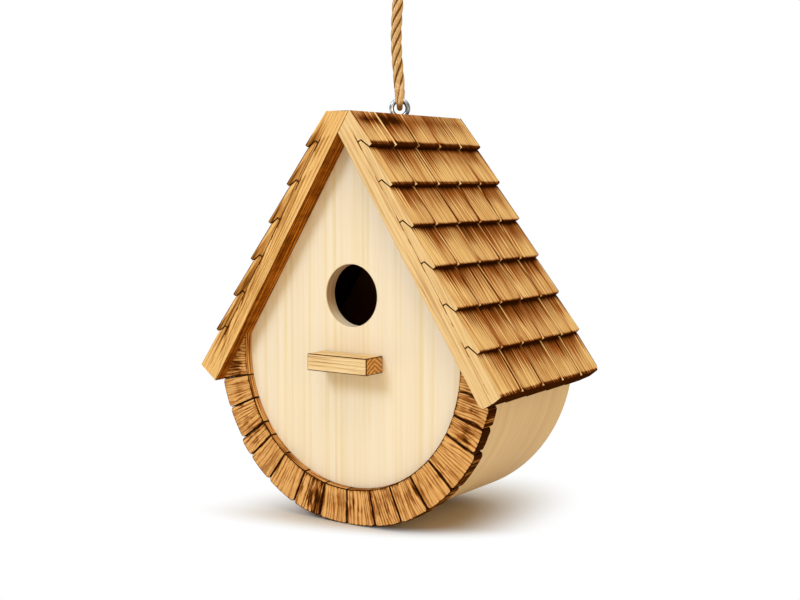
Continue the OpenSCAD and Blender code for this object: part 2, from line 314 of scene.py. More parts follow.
def laid_strand(ply, leg):
    """One ply of one leg: the legs close on each other above the ring and then start to wind."""
    def shape(distance):
        grip = eased(distance / spread_height)
        wound = distance - wind_start * (1 - math.exp(-distance / wind_start))
        return (2 * math.pi * wound / rope_pitch, ply * ply_offset,
                leg * (leg_spread + (leg_offset - leg_spread) * grip), strand_r)
    return shape


plies = [(ply, leg) for leg in (-1, 1) for ply in (-1, 1)]
across_ring = Vector((math.cos(ring_turn), math.sin(ring_turn), 0))
along_ring = Vector((-math.sin(ring_turn), math.cos(ring_turn), 0))
rope = cord_piece("laid_rope", [strand_rings(route, across_ring, laid_strand(*p)) for p in plies])

# The fold itself lies in the ring, under the wire, and is dark there: partly stain and partly
# painted shade.
fold_top = rope_route[0][2] + 1 * mm
fold_z = -0.1002
fold_stain_and_shade_reach = 4 * mm
under_wire = [Vector((0, 0, fold_z))
              + leg_spread * (math.cos(a) * along_ring + Vector((0, 0, math.sin(a))))
              for a in evenly(-math.pi, 0, 24)]
climb = evenly(fold_z, fold_top, 6)[1:]
fold = ([Vector((0, 0, z)) - leg_spread * along_ring for z in climb[::-1]] + under_wire
        + [Vector((0, 0, z)) + leg_spread * along_ring for z in climb])
fold_length = math.pi * leg_spread + 2 * (fold_top - fold_z)


def folded_ply(ply):
    """The two plies of the cord change sides on the way through the ring."""
    return lambda distance: (math.pi * distance / fold_length, 0, ply * ply_offset, strand_r)


bight = cord_piece("rope_fold", [strand_rings(fold, along_ring, folded_ply(p)) for p in (-1, 1)],
                   dark=lambda place: 0.9 * eased((fold_z - place.z) / fold_stain_and_shade_reach),
                   groove=(-0.9, -0.3))

# The knot is an overhand knot pulled tight, and the loop above it is the same laid rope.
knot_r = 2 * mm
knot_rise = 1.1
knot_low, knot_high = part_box("rope_knot")
knot_mid = (knot_low + knot_high) / 2


def knot_place(t):
    """The place at the turn t on an overhand knot whose ends have been joined."""
    return knot_mid + knot_r * Vector((math.sin(t) + 2 * math.sin(2 * t),
                                       math.cos(t) - 2 * math.cos(2 * t),
                                       -knot_rise * math.sin(3 * t)))


def laid_length(name, route, first):
    """A length of the laid rope along a route. first is a direction across the route's start."""
    def steady(ply, leg):
        return lambda distance: (2 * math.pi * distance / rope_pitch,
                                 ply * ply_offset, leg * leg_offset, strand_r)
    return cord_piece(name, [strand_rings(route, first, steady(*p)) for p in plies])


knot_turns = [knot_place(t) for t in evenly(0, 2 * math.pi, 160)]
knot = laid_length("tight_knot", knot_turns, Vector((0, 0, 1)))

strand_proud = 0.2 * mm
loop_low, loop_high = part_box("rope_loop")
loop_r = (loop_high.x - loop_low.x) / 2 - rope_d / 2
loop_mid = loop_high.z - rope_d / 2 - loop_r - strand_proud
leg_steps = evenly(loop_low.z, loop_mid, 30)[:-1]
bend = [Vector((loop_r * math.cos(a), 0, loop_mid + loop_r * math.sin(a)))
        for a in evenly(math.pi, 0, 60)]
loop_route = ([Vector((-loop_r, 0, z)) for z in leg_steps] + bend
              + [Vector((loop_r, 0, z)) for z in leg_steps[::-1]])
loop = laid_length("hanging_loop", loop_route, Vector((1, 0, 0)))

for piece, node in ((rope, "hanging_rope"), (bight, "rope_bight"),
                    (knot, "rope_knot"), (loop, "rope_loop")):
    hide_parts(node)
    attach(piece, "rope")

# -------------------------------------------------------------- screw eye
# Bright zinc-plated steel wire, bent to a ring over a pointed screw that is
# driven into the ridge until the ring's bottom sits in a small hollow.
zinc = Finish("bright zinc", roughness=0.2)
zinc.shader.inputs["Metallic"].default_value = 1
metal_place = zinc.add("TexCoord", "Object")
plating = zinc.fibres(metal_place, (240, 240, 160), 2)
scratch = zinc.fibres(metal_place, (2500, 2500, 900), 2)
zinc.colour(zinc.ramp(plating, (0.36, "#5E6062"), (0.46, "#8E9092"),
                      (0.56, "#C6C8C9"), (0.66, "#E2E3E3")))
zinc.put(zinc.shader.inputs["Roughness"], zinc.between(scratch, 0.3, 0.7, 0.14, 0.28))


def coat(node, finish):
    """Puts a finish on one of the frame's own pieces."""
    mesh = nodes[node].data
    if not mesh.materials:
        mesh.materials.append(finish.material)
    for slot in nodes[node].material_slots:
        slot.material = finish.material


coat("screw_eye", zinc)

# ------------------------------------------------------------ roof boards
# Two plain pine boards meet at a flat ridge: the left one runs right up and
# the right one is glued against it. Smoke has browned them underneath, inside
# the box they are painted darker as shade, and their eaves are scorched nearly
# black.
slope = math.radians(57.5)
ridge_rise = 10.8 * mm
board_t = 7.8 * mm
board_len = 155.5 * mm
first_butt = 17.5 * mm
courses = 7
shingles_wide = 5
butt_t = 6.6 * mm
head_t = 4.2 * mm
tip_t = 1.8 * mm
eave_t = 5.4 * mm
lap = 6.5 * mm
lap_gap = 0.4 * mm
groove_w = 1.8 * mm
groove_d = 1.1 * mm
exposure = (board_len - first_butt) / (courses - 1)
flare = math.atan((butt_t - head_t) / exposure)
roof_low, roof_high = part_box("roof_board_left")
roof_front, roof_back, ridge_z = roof_low.y, roof_high.y, roof_high.z
apex_z = ridge_z - ridge_rise
shingle_w = (roof_back - roof_front) / shingles_wide
corner_r = 3.6 * mm
SIDES = {"left": -1, "right": 1}
board_seed = {"left": 3, "right": 9}


def on_slope(side, s, h, y):
    """The point s down the slope and h out from the board's inner face, at depth y."""
    return Vector((SIDES[side] * (s * math.cos(slope) + h * math.sin(slope)), y,
                   apex_z - s * math.sin(slope) + h * math.cos(slope)))


def down_and_out(side, x, z):
    """How far an offset or a direction runs down the slope, and how far out from it."""
    x *= SIDES[side]
    return x * math.cos(slope) - z * math.sin(slope), x * math.sin(slope) + z * math.cos(slope)


def slope_place(side, place):
    """s and h of a point on the slope."""
    return down_and_out(side, place.x, place.z - apex_z)


def cut_at(i, h):
    """How far down the slope, at height h, the cut lies that ends course i."""
    return first_butt + (i - 1) * exposure - h * math.tan(flare)


def groove_at(y):
    """How deep the V grooves are at depth y, from 0 to 1."""
    near = min(abs(y - roof_front - k * shingle_w) for k in range(1, shingles_wide))
    return max(0, 1 - near / (groove_w / 2))


def corner_at(y):
    """How far the eave's worn back corner is set back at depth y."""
    t = max(0, 1 - (roof_back - y) / corner_r)
    return corner_r * (1 - math.sqrt(1 - t * t))


def stations(step=0.9 * mm):
    """Depths from the roof's front to its back, about a step apart, with three at each groove and
    four at the worn back corner."""
    marks = {roof_front, roof_back}
    marks.update(roof_back - t * corner_r for t in (0.08, 0.3, 0.6, 1))
    for k in range(shingles_wide):
        start = roof_front + k * shingle_w + groove_w / 2
        count = round((shingle_w - groove_w) / step)
        marks.update(start + (shingle_w - groove_w) * n / count for n in range(count + 1))
        if k:
            marks.add(roof_front + k * shingle_w)
    return sorted(marks)


def loft(rings):
    """Skins the rings, which have the same number of points, and closes both ends."""
    bm = bmesh.new()
    skin(bm, [[bm.verts.new(p) for p in ring] for ring in rings])
    bmesh.ops.recalc_face_normals(bm, faces=bm.faces[:])
    return bm


def saw_off(bm, place, outward):
    """Saws off what lies beyond a plane and closes the cut."""
    bmesh.ops.bisect_plane(bm, geom=bm.verts[:] + bm.edges[:] + bm.faces[:], dist=1e-7,
                           plane_co=place, plane_no=outward, clear_outer=True)
    rim = [edge for edge in bm.edges if edge.is_boundary]
    if rim:
        bmesh.ops.edgeloop_fill(bm, edges=rim)
        bmesh.ops.recalc_face_normals(bm, faces=bm.faces[:])


def ridge_trim(bm, side):
    """Trims a slope's piece to the flat ridge, and on the right to the left board's inner face."""
    saw_off(bm, Vector((0, 0, ridge_z)), Vector((0, 0, 1)))
    if side == "right":
        saw_off(bm, Vector((0, 0, apex_z)), Vector((-math.sin(slope), 0, math.cos(slope))))


def scorched_wood(name, light, dark, toasted, charred, fine=1, bold=1, licks=0.9, figure=None):
    """Pine with its grain raised, toasted by a flame where it is marked as scorched, and darkened
    the same way where shade is painted on. fine is how close its fibres lie, bold how strongly the
    rings show, licks how far the flame's marks follow the grain, and figure the strength and the
    scale of its ripples."""
    wood = Finish(name, roughness=0.7, shine=0)
    grain = wood.mark("grain")
    hair = wood.fibres(grain, (700 * fine, 17, 1), 3, 0.65)
    drift = wood.fibres(grain, (110 * fine, 9, 1), 1, 0.5)
    patch = wood.fibres(grain, (85, 50, 2.3), 2, 0.5)
    across = wood.times(wood.add("SeparateXYZ", 0, {0: grain}), 450 * fine)
    rings = wood.sum(wood.sum(across, wood.times(drift, 5)), 0.5, "PINGPONG")
    line = wood.between(wood.sum(rings, wood.swing(hair, 0.9)), 0.25, 0.42)
    base = wood.mix(wood.times(line, 0.8 * bold), tint(light), tint(dark))
    base = wood.mix(wood.between(patch, 0.42, 0.6, 0, 0.4 * bold), base, tint(dark))
    base = wood.mix(wood.between(hair, 0.47, 0.38, 0, 0.85 * bold), base, tint(toasted))
    base = wood.mix(wood.between(hair, 0.53, 0.6, 0, 0.8), base, tint(light))
    # The mark carries both scorch and painted shade, which darken the wood alike.
    scorch_and_shade = wood.mark("scorch_and_shade", "Fac")
    heat_and_shade = wood.sum(scorch_and_shade, wood.swing(hair, -2.2 * licks))
    heat_and_shade = wood.sum(heat_and_shade, wood.times(wood.sum(line, 0.4, "SUBTRACT"), 0.7 * licks))
    heat_and_shade = wood.sum(heat_and_shade, wood.swing(patch, 0.8))
    if figure:
        strength, scale = figure
        ripples = wood.swing(wood.fibres(grain, scale, 2), strength)
        heat_and_shade = wood.sum(heat_and_shade, wood.times(ripples, wood.between(scorch_and_shade, 0, 0.6)))
    shade = wood.mix(wood.between(heat_and_shade, 0, 0.75, 0, 0.9), base, tint(toasted))
    shade = wood.mix(wood.between(heat_and_shade, 0.55, 1.3), shade, tint(charred))
    wood.colour(shade)
    wood.relief(wood.sum(hair, wood.times(line, 0.5), "SUBTRACT"), 0.4 * mm, 0.8)
    return wood


def soften(piece, width, segments=2, angle=40, plain=None):
    """Eases the edges that are sharper than angle, except those that plain picks. The last of the
    piece's finishes shows on them."""
    bm = bmesh.new()
    bm.from_mesh(piece.data)
    weight = bm.edges.layers.float.new("bevel_weight_edge")
    for edge in bm.edges:
        sharp = len(edge.link_faces) == 2 and edge.calc_face_angle() > math.radians(angle)
        if sharp and not (plain and plain((edge.verts[0].co + edge.verts[1].co) / 2)):
            edge[weight] = 1
    bm.to_mesh(piece.data)
    bm.free()
    bevel = piece.modifiers.new("eased edges", "BEVEL")
    bevel.width = width
    bevel.segments = segments
    bevel.limit_method = "WEIGHT"
    bevel.harden_normals = True
    bevel.material = len(piece.data.materials) - 1


honey_board = scorched_wood("honey board", "#EEC27E", "#D9A05A", "#A4641F", "#3A1D06",
                            fine=1.2, bold=0.6, licks=0.6)
smoked_board = scorched_wood("smoked board", "#C47A28", "#97520F", "#74390A", "#3A1A02",
                             fine=1.4, licks=0.8, figure=(1.2, (45, 190, 3.1)))
sooty_edge = scorched_wood("sooty edge", "#5A3413", "#3E220B", "#2A1606", "#1C0E04")
sawn_ends = {"left": scorched_wood("honey sawn end", "#EABD78", "#D59C54", "#A4641F", "#3A1D06",
                                   fine=1.2, bold=0.6, licks=0.6),
             "right": scorched_wood("pale sawn end", "#E9C891", "#D5A66A", "#A4641F", "#3A1D06",
                                    fine=1.2, bold=0.5, licks=0.4)}
open_seams = [(a * mm, b * mm) for a, b in ((144, 150), (137, 138.5), (112, 114), (66, 69))]
kerf_mid = 2 * mm
kerf_soot = 3.1 * mm
kerf_scorch = 4 * mm
seam_line = 0.1 * mm


def sawn_end(face):
    """Whether it faces the roof's front or back."""
    return abs(face.normal.y) > 0.8


def seam_burn(side, s, depth):
    """How scorched the roof's ends are at s, and at a depth from the seam between the board and
    its courses. The flame got in at the kerfs and where the glue line is open."""
    kerf = min(abs(s - cut_at(i, board_t) + lap - kerf_mid) for i in range(1, courses))
    burn_and_shade = -0.15
    if side == "left" and depth < 0.5 * board_t and kerf < kerf_scorch:
        burn_and_shade = 0.65
    if side == "left" and depth > board_t - seam_line:
        burn_and_shade = 1.2
    if depth < seam_line:
        burn_and_shade = 1.3 if kerf < kerf_soot or any(a <= s <= b for a, b in open_seams) else -0.1
    return burn_and_shade


def board_reader(side):
    """The grain of a board runs down the slope. It is darkest at the eave, and inside the box,
    where the dark is painted shade.
    """
    def read(place, face, vert):
        s, h = slope_place(side, place)
        down, out = down_and_out(side, face.normal.x, face.normal.z)
        seed = board_seed[side]
        if sawn_end(face):
            return h, s, seed, seam_burn(side, s, board_t - h)
        if face.normal.z > 0.9:
            return place.y, s, seed, 0.05
        if out < -0.5:
            # Underneath: smoked brown outside the box, and painted dark as shade inside it.
            return place.y, s, seed + 20, 0.5 if place.y < panel_front else 1.6
        return place.y, h, seed + 40, 1.6 if down > 0.3 else 1.4
    return read


def line_ends(bm, width=0.5 * mm):
    """Adds a narrow band inside the outline of the two ends, so that their edges can be marked."""
    for facing in (-1, 1):
        ends = [face for face in bm.faces if face.normal.y * facing > 0.999]
        bmesh.ops.inset_region(bm, faces=ends, thickness=width, use_even_offset=True)


def at_seam(side):
    """Picks the edges along which the courses are glued to the board."""
    return lambda middle: abs(slope_place(side, middle)[1] - board_t) < 0.05 * mm


def finish_faces(piece, number, picks):
    """Gives the faces that picks finds the piece's finish of that number, counted from 0."""
    for face in piece.data.polygons:
        if picks(face):
            face.material_index = number


panel_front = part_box("front_panel")[0].y
eave_wear = {"left": 0.3 * mm, "right": 3.4 * mm}
eave_notch = 1.2 * mm
eave_step = 0.6 * mm
eave_line = 0.4 * mm
squeezed_from = 0.9 * board_len
for side in SIDES:
    rings = []
    marks = {board_len * t for t in (-0.3, 0, 0.1, 0.4, 0.7, 0.93)}
    marks.update(cut_at(i, board_t) - lap + t * mm
                 for i in range(1, courses) for t in (-4, -1, 0, 2, 5, 5.3))
    marks.update(end + t * mm for seam in open_seams for end, t in zip(seam * 2, (0, 0, -0.3, 0.3)))
    inner = sorted(marks)
    for y in stations(3 * mm):
        # The eave is worn, more so towards the back, and notched below the courses' grooves. The
        # marks above it close up, so that all of them stay short of it.
        back = corner_at(y)
        wear = eave_wear[side] * (1 + 0.25 * (y - roof_front) / (roof_back - roof_front))
        notch = groove_at(y) * eave_notch + ((y - roof_front) / shingle_w) % 1 * eave_step
        eave_s = board_len - 0.9 * wear - back
        squeeze = min(1, (eave_s - eave_line - squeezed_from) / (inner[-1] - squeezed_from))
        line = [s if s < squeezed_from else squeezed_from + (s - squeezed_from) * squeeze
                for s in inner]
        ring = [on_slope(side, s, 0, y) for s in line]
        ring.append(on_slope(side, eave_s, 0, y))
        ring.append(on_slope(side, board_len - 0.3 * wear - 0.5 * notch - back,
                             0.35 * wear + 0.4 * notch, y))
        ring.append(on_slope(side, board_len - 0.25 * wear - 0.3 * notch - back, wear + notch, y))
        ring.append(on_slope(side, cut_at(courses, board_t) - back, board_t, y))
        ring += [on_slope(side, s, board_t, y) for s in line[::-1]]
        rings.append(ring)
    bm = loft(rings)
    ridge_trim(bm, side)
    bm.normal_update()
    line_ends(bm)
    board = new_piece("board_" + side, bm, [honey_board, smoked_board, sawn_ends[side], sooty_edge],
                      board_reader(side))
    finish_faces(board, 1,
                 lambda face: down_and_out(side, face.normal.x, face.normal.z)[1] < -0.5)
    finish_faces(board, 2, sawn_end)
    soften(board, 0.5 * mm, plain=at_seam(side))
    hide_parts("roof_board_" + side)
    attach(board, "house")

# --------------------------------------------------------------- shingles
# Each course is a tapered strip of pine, grooved into five shingles and glued
# to its board. The grain is brushed and scorched, darkest just under the butt
# above, with painted shade right under the butt and in the grooves, and the
# butts are charred.
toasted_shingle = scorched_wood("toasted shingle", "#F1D29A", "#C27B38", "#A4520E", "#3A1B03",
                                fine=1.3, bold=0.65, licks=1)
# How scorched each course is, and from which share of its exposure it is charred.
course_heat = [0.2, 0.08, 0.2, 0.2, 0.15, 0.2, 0.2]
charred_from = [0.88, 0.9, 0.94, 0.94, 0.94, 0.94, 0.91]
past_ridge = 16 * mm
kerf_gap = 1.4 * lap_gap
uneven = 0.12 * mm
raised_grain = 0.05 * mm
butt_jag = 0.5 * mm
outline_in = {"left": 0.7 * mm, "right": 0.4 * mm}
draw = random.Random(11)


def butt_at(i):
    """Height of the face of course i at its butt."""
    return board_t + (eave_t if i == courses else butt_t)


def shingle_ring(side, i, y, lift, jag):
    """Outline of course i at depth y. lift raises its face and jag moves its butt."""
    head, butt = board_t + head_t, butt_at(i)
    sink = groove_at(y) * groove_d
    tail = cut_at(i, 0) - lap
    end_s, end_h = cut_at(i, butt) + jag, butt + lift - sink
    if i == 1:
        top_s = -past_ridge
        top_h = butt - (cut_at(i, 0) - top_s) * math.tan(flare) + lift - sink
        under = [(top_s, board_t)]
    else:
        top_s, top_h = cut_at(i - 1, head), head + 0.3 * lift - sink
        tip = cut_at(i - 1, 0) - lap
        under = [(tip, board_t), (tip, board_t + tip_t)]
    shares = (0, 0.03, 0.07, 0.13, 0.2, 0.3, 0.4, 0.5, 0.6, 0.7, 0.8, 0.87, 0.91, 0.94, 0.97, 1)
    face = [(top_s + (end_s - top_s) * t, top_h + (end_h - top_h) * t) for t in shares]
    if i == courses:
        lower = [(cut_at(i, board_t) + jag, board_t)]
    else:
        lower = [(cut_at(i, head + kerf_gap) + jag, head + kerf_gap),
                 (tail - kerf_gap, board_t + tip_t + kerf_gap), (tail - kerf_gap, board_t)]
    return [on_slope(side, s, h, y) for s, h in under + face + lower]


def face_burn_and_shade(i, t, y, warmth, slant):
    """How scorched course i's face is, with painted shade under the butt above and in and beside
    the grooves, at the share t of its exposure and at depth y. slant is how far the face leans back
    or forth, which tells a groove's two walls."""
    front, back = y - roof_front, roof_back - y
    groove = min(range(1, shingles_wide), key=lambda k: abs(front - k * shingle_w))
    off = front - groove * shingle_w
    at_butt = eased((t - 0.9) / 0.05)
    if abs(slant) > 0.25:
        # A groove's walls are painted shade: one is lighter than the other, and both darken towards
        # the root, but not at the butt, nor at all in the front groove of the first course.
        wall = 0.3 if slant < 0 else 0.6
        clean = t > 0.955 or (i == 1 and groove == 1)
        return wall + groove_at(y) * ((-0.5 if clean else 1.6) - wall)
    burn_and_shade = warmth + course_heat[i - 1]
    if i > 1:
        # Scorched darkest under the butt above, with painted shade just under it, and left
        # lighter along the roof's front.
        burn_and_shade += 0.85 * (1 - eased((t - 0.15) / 0.7)) + 1.15 * math.exp(-t / 0.06) - 0.22
        burn_and_shade -= 0.75 * (1 - eased((front - 2 * mm) / (9 * mm))) * (1 - at_butt)
    else:
        # The first course has no butt above it: it is darkest in a band a third of the way down.
        licked = eased((front - 2 * mm) / (4 * mm)) * (1 - eased((front - 36 * mm) / (8 * mm)))
        burn_and_shade += 0.4 - 0.4 * eased((t - 0.5) / 0.35) + 0.25 * math.exp(-((t - 0.3) / 0.15) ** 2)
        burn_and_shade += 0.75 * licked * math.exp(-((t - 0.3) / 0.13) ** 2)
    # Lighter along the back, darker beside the grooves as painted shade, and darker at the butt
    # and the back edge.
    burn_and_shade -= 0.3 * (1 - eased((back - 4 * mm) / (4 * mm))) * (1 - at_butt)
    burn_and_shade += 0.4 * math.exp(-((off - 0.4 * mm) / (1.5 * mm)) ** 2) * (1 - at_butt)
    burn_and_shade += 0.65 * eased((t - 0.82) / 0.1) * math.exp(-(off / (2.4 * mm)) ** 2)
    burn_and_shade += 1.3 * eased((t - charred_from[i - 1]) / 0.06)
    return burn_and_shade + 1.1 * (1 - eased(back / (1.2 * mm)))


def shingle_reader(side, i, seeds):
    """Each shingle of course i has its own figure and warmth, which seeds gives. The sawn ends go
    with the board's, and the left ones darken towards the butt."""
    def read(place, face, vert):
        s, h = slope_place(side, place)
        down, out = down_and_out(side, face.normal.x, face.normal.z)
        k = min(max(int((face.center.y - roof_front) / shingle_w), 0), shingles_wide - 1)
        seed, warmth = seeds[k]
        t = 1 - (cut_at(i, board_t + butt_t) - s) / exposure
        if sawn_end(face):
            burn_and_shade = seam_burn(side, s, h - board_t)
            if side == "left" and i < courses:
                face_h = butt_at(i) - (cut_at(i, butt_at(i)) - s) * math.tan(flare)
                burn_and_shade = max(burn_and_shade, 0.9 * eased((t - 0.6) / 0.4), 1.4 if h > face_h - 0.3 * mm else 0)
            return h, s, board_seed[side], burn_and_shade
        if down > 0.6:
            # A groove leaves the butt's upper part bare where it runs out.
            bare = 1 if h > board_t + head_t + 1 * mm else 0.3 * (i < courses)
            notch = bare * eased(2 * groove_at(place.y))
            return place.y, 3 * h, seed, 1.8 - 2.1 * notch
        if out > 0.3:
            return place.y, s, seed, face_burn_and_shade(i, t, place.y, warmth, face.normal.y)
        return place.y, s, seed, 1.6
    return read


for side in SIDES:
    for i in range(1, courses + 1):
        seeds = [(draw.uniform(10, 90), draw.uniform(-0.16, 0.18)) for k in range(shingles_wide)]
        steps = [draw.uniform(-uneven, uneven) for k in range(shingles_wide)]
        rings = []
        for y in stations():
            k = min(int((y - roof_front) / shingle_w), shingles_wide - 1)
            ripple = noise.noise(Vector((y / mm * 1.3, i * 7.3, SIDES[side])))
            lift = (steps[k] - uneven + raised_grain * (ripple - 1)) * (1 - groove_at(y))
            jag = min(0, butt_jag * noise.noise(Vector((y / mm * 0.9, i * 3.1 + 40, SIDES[side]))))
            jag -= corner_at(y) * (1 if i == courses else 0.3)
            rings.append(shingle_ring(side, i, y, lift, jag))
        bm = loft(rings)
        if i == 1:
            ridge_trim(bm, side)
        bm.normal_update()
        line_ends(bm, outline_in[side])
        course = new_piece(f"shingles_{side}_{i}", bm,
                           [toasted_shingle, sawn_ends[side], sooty_edge],
                           shingle_reader(side, i, seeds), soft_angle=28)
        finish_faces(course, 1, sawn_end)
        soften(course, 0.2 * mm, segments=1, angle=50, plain=at_seam(side))
        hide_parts(f"shingle_course_{side}_{i}")
        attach(course, "house")

# ----------------------------------------------------- front and back panels
# Two planed pine boards in a teardrop shape, sawn out and left bare. The
# front one has the entrance hole and a rebate for the rim blocks, the back
# one the clean-out hole.
panel_edge = 0.3 * mm
edge_band = 0.9 * mm
glue_gap = 0.1 * mm
wall_in = 80.5 * mm
rim_in = 67.4 * mm
apex_h = 113 * mm
nest_z = apex_z - apex_h
panel_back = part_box("front_panel")[1].y
back_front, back_back = (corner.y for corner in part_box("back_panel"))
rim_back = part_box("rim_block_8")[1].y
hole_r = 16 * mm
hole_z = nest_z + 31.5 * mm
cleanout_r = 19 * mm
cleanout_z = nest_z - 24 * mm
pivot_rise = 34 * mm
pivot_z = cleanout_z + pivot_rise
pivot_hole_r = 1.81 * mm


def circle(x, z, r, count=96):
    return [(x + r * math.sin(a), z - r * math.cos(a)) for a in evenly(0, 2 * math.pi, count)[:-1]]


def teardrop(r):
    """Disc outline that runs up into the roof's inner apex."""
    reach = apex_h * math.cos(slope)
    end = math.pi - slope - math.acos(reach / r) if reach < r else math.pi - slope
    arc = [(r * math.sin(a), nest_z - r * math.cos(a)) for a in evenly(-end, end, 120)]
    return arc + [(0, apex_z)]


def sawn_board(bm, outline, holes, y0, y1):
    """A board with the front view's outline and holes, from depth y0 to y1."""
    loops = []
    for line in [outline] + holes:
        rows = [[bm.verts.new((x, y, z)) for x, z in line] for y in (y0, y0 + edge_band, y1)]
        skin(bm, rows, ends=False)
        loops += [rows[0], rows[-1]]
    for part in (0, 1):
        edges = []
        for line in loops[part::2]:
            edges += [bm.edges.get((line[k], line[(k + 1) % len(line)])) for k in range(len(line))]
        bmesh.ops.triangle_fill(bm, use_beauty=True, use_dissolve=False, edges=edges)
    bmesh.ops.recalc_face_normals(bm, faces=bm.faces[:])


def planed_pine(name, pale, rosy, golden, roughness=0.5, hairy=1):
    """Bare pine with soft bands of early and late wood."""
    pine = Finish(name, roughness, shine=0.25)
    grain = pine.mark("grain")
    band = pine.fibres(grain, (110, 1.2, 1), 1, 0.5)
    ring = pine.fibres(grain, (330, 1.5, 1.3), 2, 0.55)
    hair = pine.fibres(grain, (800, 14, 1), 2, 0.6)
    shade = pine.mix(pine.between(band, 0.35, 0.65), tint(pale), tint(rosy))
    shade = pine.mix(pine.between(ring, 0.48, 0.7, 0, 0.8), shade, tint(golden))
    shade = pine.mix(pine.between(hair, 0.5, 0.66, 0, 0.35 * hairy), shade, tint(golden))
    # The marked corners darken it: scorched edges, and painted shade inside the box and in the
    # entrance hole.
    shade = pine.mix(pine.between(pine.mark("scorch_and_shade", "Fac"), 0, 1), shade, tint("#94561A"))
    pine.colour(shade)
    pine.relief(pine.sum(hair, ring), 0.12 * mm, 0.5)
    return pine


bare_pine = planed_pine("bare pine", "#F1E2C7", "#EFDFC3", "#EAD4A4")


def panel_reader(seed, facing, inner_shade=0.9):
    """The grain of a panel runs up it. facing is the way its outer face looks, and the last
    argument is how dark the other face is painted, as shade inside the box."""
    def read(place, face, vert):
        if abs(face.normal.y) > 0.5:
            return place.x, place.z, seed, inner_shade if face.normal.y * facing < 0 else 0
        if math.hypot(place.x, place.z - hole_z) < hole_r + 1 * mm:
            # Painted shade on the hole's wall, darkest at the top and lightest at the bottom; its
            # front band is left light as a painted highlight.
            hole_shade = 0.6 - 0.48 * eased((hole_z - place.z) / hole_r)
            hole_shade *= place.y > panel_front + 0.5 * edge_band
            return place.y, math.atan2(place.x, place.z - hole_z) * hole_r, seed + 5, hole_shade
        return place.y, place.z, seed + 5, 0.12
    return read


bm = bmesh.new()
sawn_board(bm, teardrop(rim_in - glue_gap), [circle(0, hole_z, hole_r)], panel_front, rim_back)
sawn_board(bm, teardrop(wall_in - glue_gap), [circle(0, hole_z, hole_r)], rim_back, panel_back)
front = new_piece("front_board", bm, [bare_pine], panel_reader(seed=2, facing=-1))
soften(front, panel_edge)
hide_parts("front_panel")
bm = bmesh.new()
cleanout_holes = [circle(0, cleanout_z, cleanout_r), circle(0, pivot_z, pivot_hole_r, 24)]
sawn_board(bm, teardrop(wall_in - glue_gap), cleanout_holes, back_front, back_back)
back = new_piece("back_board", bm, [bare_pine], panel_reader(seed=14, facing=1))
soften(back, panel_edge)
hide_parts("back_panel")
for board in (front, back):
    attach(board, "house")

# -------------------------------------------------------------- side wall
# A thin pine board, bent round both panels and glued to their edges. Its
# grain follows the bend.
wall_r = 84 * mm
wall_t = wall_r - wall_in
wall_front, wall_back = (corner.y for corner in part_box("side_wall"))
wall_reach = math.radians(88)
wall_steps = 96
wall_seed = 31
bent_pine = planed_pine("bent pine", "#DBC095", "#D9BD94", "#D1B083", roughness=0.55, hairy=1.5)


def away(a):
    """The direction away from the bend's middle, at the angle a from straight down."""
    return Vector((math.sin(a), 0, -math.cos(a)))


def bend_place(place):
    """How far a point lies from the bend's middle, and its angle from straight down."""
    return math.hypot(place.x, place.z - nest_z), math.atan2(place.x, nest_z - place.z)


def wall_reader(place, face, vert):
    """The grain runs round the bend, and the inside is painted dark as shade."""
    radius, a = bend_place(place)
    around = a * wall_r
    if abs(face.normal.y) > 0.5:
        return radius, around, wall_seed, 0.15
    # Painted shade on the inner face.
    return 1.2 * place.y, 2 * around, wall_seed, 0.9 if radius < wall_r - 0.5 * wall_t else 0


def under_roof(bm):
    """Trims to the roof boards' inner faces."""
    for way in SIDES.values():
        saw_off(bm, Vector((0, 0, apex_z)), Vector((way * math.sin(slope), 0, math.cos(slope))))


section = [(wall_in, wall_front), (wall_r, wall_front), (wall_r, wall_back), (wall_in, wall_back)]
rings = []
for a in evenly(-wall_reach, wall_reach, wall_steps):
    rings.append([Vector((0, y, nest_z)) + r * away(a) for r, y in section])
bm = loft(rings)
under_roof(bm)
wall = new_piece("bent_wall", bm, [bent_pine], wall_reader)
soften(wall, 0.3 * mm)
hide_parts("side_wall")
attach(wall, "house")

# ------------------------------------------------------------- rim blocks
# Sixteen blocks of brushed and scorched pine, cut to irregular widths and
# glued in a ring in front of the side wall. Their grain points outward.
rim_r = 85.6 * mm
block_gap = 0.3 * mm
block_nick = 1.1 * mm
# The joints' angles from the bottom, going round to the right, and how scorched each block is.
block_cuts = [-101, -78, -67, -55, -48, -37, -24, -12, 0, 12, 23, 35, 47, 62, 71, 81, 101]
block_heat = [0.6, 0.05, 0.2, 0.05, -0.08, -0.06, 0.4, 0.1,
              0.3, 0.38, 0.25, 0, 0.08, 0.15, 0.2, 0.2]
# Two blocks are darker towards the joint before them or after them, and three towards the outside,
# where they are partly scorched and partly painted with the roof's shadow.
flame_kissed = {4: -1, 7: 1}
singed_and_shaded_outside = {1: 0.1, 14: 0.25, 15: 0.1}
outline_w = 0.8 * mm
block_swell = 1.3 * mm
swell_below = math.radians(60)
swell_from = math.radians(2)
swell_over = math.radians(24)
block_step = 1.6 * mm
nick_w = 1.6 * mm
block_wave = 0.3 * mm
grain_r = 76 * mm
block_seed = 3.7
rim_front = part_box("rim_block_8")[0].y
toasted_block = scorched_wood("toasted block", "#E3AE6B", "#BB7D3A", "#8A4810", "#391C06",
                              fine=1.3, bold=0.8, licks=0.8, figure=(3.4, (480, 40, 1)))


def swell(first, last, a):
    """How far a block's outer face stands proud at angle a: the lower ones do, at the sides."""
    low = abs(first + last) / 2 < swell_below
    return block_swell * low * eased((abs(a) - swell_from) / swell_over)


